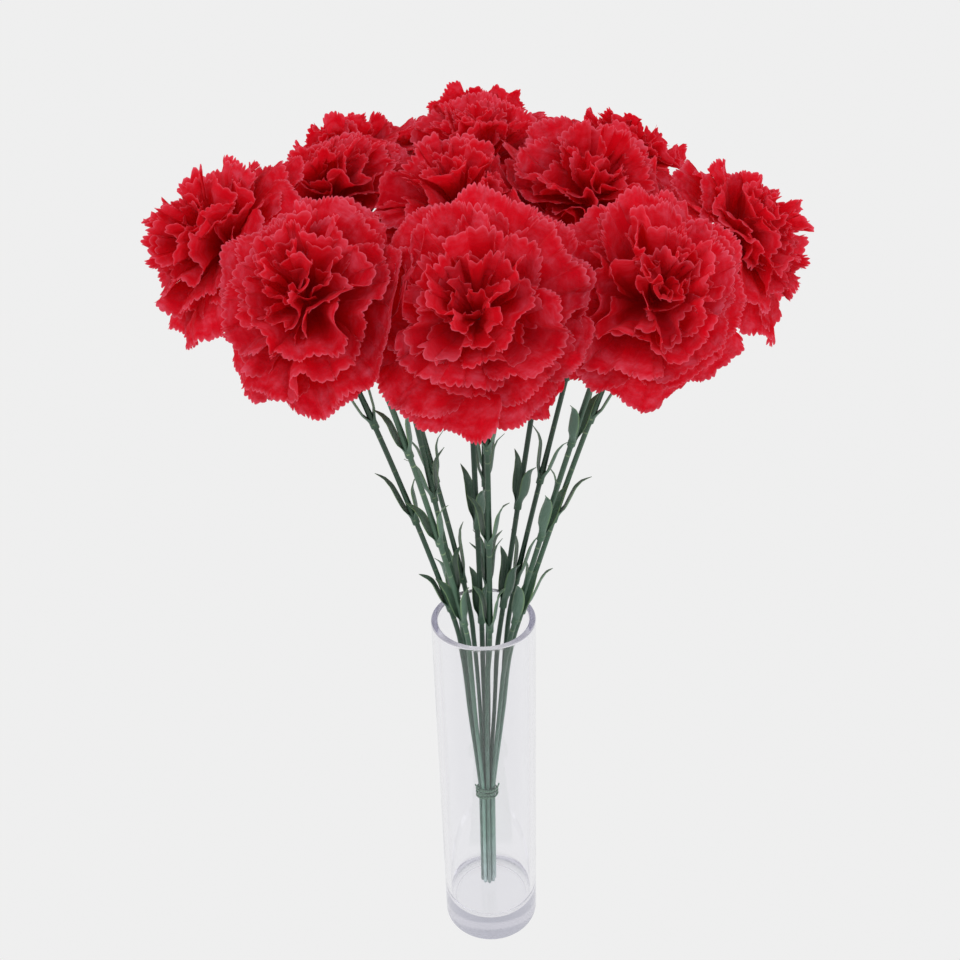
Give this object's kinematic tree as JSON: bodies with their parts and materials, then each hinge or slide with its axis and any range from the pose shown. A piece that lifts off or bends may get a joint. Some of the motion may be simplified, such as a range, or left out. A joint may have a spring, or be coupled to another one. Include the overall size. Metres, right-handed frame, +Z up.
{
  "type": "artificial carnation bouquet in glass vase",
  "caption": "Dense dome of red cloth carnations on green stems that spread out of a tall, clear, straight-sided cylinder vase with a thick base.",
  "frame": {"origin": "centre of the foot of the vase, on the surface that it stands on", "axes": "+Z up out of the vase, along its height; -Y towards the front, where the foremost bloom faces; +X to the right as seen from the front"},
  "size_m": [0.3281, 0.3346, 0.5385],
  "materials": {
    "clear_glass": "smooth polished clear glass",
    "tie_wire": "dark green plastic-coated wire",
    "stem_plastic": "moulded grey-green plastic with paler mould lines",
    "petal_cloth": "thin matt red cloth with paler cut edges"
  },
  "bodies": {
    "root": {"vase": "clear_glass", "twist_tie": "tie_wire", "stem_01": "stem_plastic", "stem_02": "stem_plastic", "stem_03": "stem_plastic", "stem_04": "stem_plastic", "stem_05": "stem_plastic", "stem_06": "stem_plastic", "stem_07": "stem_plastic", "stem_08": "stem_plastic", "stem_09": "stem_plastic", "stem_10": "stem_plastic", "stem_11": "stem_plastic", "stem_12": "stem_plastic", "bloom_01": "petal_cloth", "bloom_02": "petal_cloth", "bloom_03": "petal_cloth", "bloom_04": "petal_cloth", "bloom_05": "petal_cloth", "bloom_06": "petal_cloth", "bloom_07": "petal_cloth", "bloom_08": "petal_cloth", "bloom_09": "petal_cloth", "bloom_10": "petal_cloth", "bloom_11": "petal_cloth", "bloom_12": "petal_cloth"}
  },
  "joints": []
}
